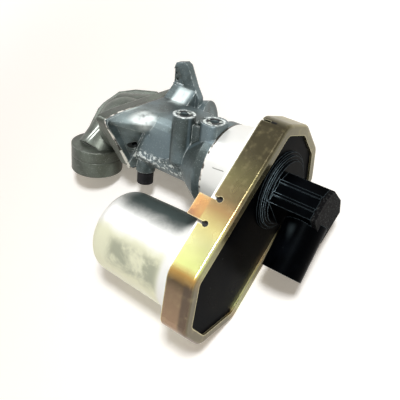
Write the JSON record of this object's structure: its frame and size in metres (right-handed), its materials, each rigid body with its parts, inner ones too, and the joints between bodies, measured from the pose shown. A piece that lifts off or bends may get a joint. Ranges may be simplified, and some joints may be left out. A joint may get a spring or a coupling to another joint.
{
  "type": "egr valve",
  "caption": "Exhaust gas recirculation valve: a geared motor under a clamped black cover opens a poppet in a cast body with a bolted inlet elbow and a side tube.",
  "frame": {"origin": "centre of the round gas inlet port, on the seating face of the elbow's foot", "axes": "+X runs along the valve stem and out through the gear cover, +Y along the gear housing from the motor towards the valve, +Z across it, upwards as the valve lies on its side. The casting's bolts lean 42 degrees from +Z towards +Y."},
  "size_m": [0.1726, 0.1326, 0.0679],
  "materials": {
    "casting": "as-cast blue-grey satin aluminium",
    "housing_alloy": "bright satin die-cast aluminium",
    "zinc_plate": "pressed sheet steel, iridescent yellow zinc plating",
    "cover_plastic": "black semi-gloss moulded plastic",
    "cap_plastic": "speckled matt black plastic",
    "gasket_steel": "embossed sheet steel",
    "steel": "plain steel",
    "stainless": "heat-resisting stainless steel",
    "spring_steel": "oil-tempered spring steel",
    "rubber": "black rubber",
    "contacts": "tinned brass contacts",
    "board": "green circuit board",
    "magnet": "grey ferrite",
    "motor_plastic": "dark glass-filled plastic",
    "armature_steel": "laminated steel with copper windings",
    "bronze": "sintered bronze",
    "gear_plastic": "natural acetal plastic"
  },
  "bodies": {
    "housing": {"valve_body": "casting", "inlet_elbow": "casting", "inlet_foot": "casting", "joint_gasket": "gasket_steel", "elbow_screws": "steel", "rubber_plug": "rubber", "gear_housing": "housing_alloy", "housing_gasket": "gasket_steel", "housing_screws": "steel", "clamp_ring": "zinc_plate", "gear_cover": "cover_plastic", "tower_cap": "cap_plastic", "cover_seal": "rubber", "terminal_pins": "contacts", "sensor_board": "board", "motor_case": "steel", "motor_end_cap": "motor_plastic", "motor_screws": "steel", "motor_magnets": "magnet", "motor_bush": "bronze", "end_cushion": "rubber", "intermediate_axle": "steel", "output_bush": "bronze", "return_spring": "spring_steel", "valve_seat": "stainless", "stem_bush": "bronze", "stem_seal": "rubber"},
    "cam": {"output_gear": "gear_plastic", "sensor_magnet": "magnet"},
    "idler": {"intermediate_gear": "gear_plastic"},
    "rotor": {"motor_shaft": "steel", "motor_pinion": "bronze", "motor_armature": "armature_steel"},
    "valve": {"valve_stem": "stainless", "cross_pin": "stainless", "valve_disc": "stainless"}
  },
  "joints": [
    {"name": "motor_turn", "type": "hinge", "parent": "housing", "child": "rotor", "pos_m": [0.0946, -0.02999, 0.01946], "axis": [1, 0, 0], "range_deg": [0, 1120]},
    {"name": "idler_turn", "type": "hinge", "parent": "housing", "child": "idler", "pos_m": [0.1166, -0.00199, 0.01946], "axis": [1, 0, 0], "range_deg": [-280.1, 0.1]},
    {"name": "cam_turn", "type": "hinge", "parent": "housing", "child": "cam", "pos_m": [0.1126, 0.02681, 0.01946], "axis": [1, 0, 0], "range_deg": [-0.1, 80.1]},
    {"name": "valve_slide", "type": "slide", "parent": "housing", "child": "valve", "axis": [-1, 0, 0], "range_m": [-0.00001, 0.00701]}
  ],
  "couplings": [
    {"joint": "idler_turn", "follows": "motor_turn", "ratio": -0.25},
    {"joint": "cam_turn", "follows": "motor_turn", "ratio": 0.071429},
    {"joint": "valve_slide", "follows": "motor_turn", "m_per_rad": 0.0003581}
  ]
}
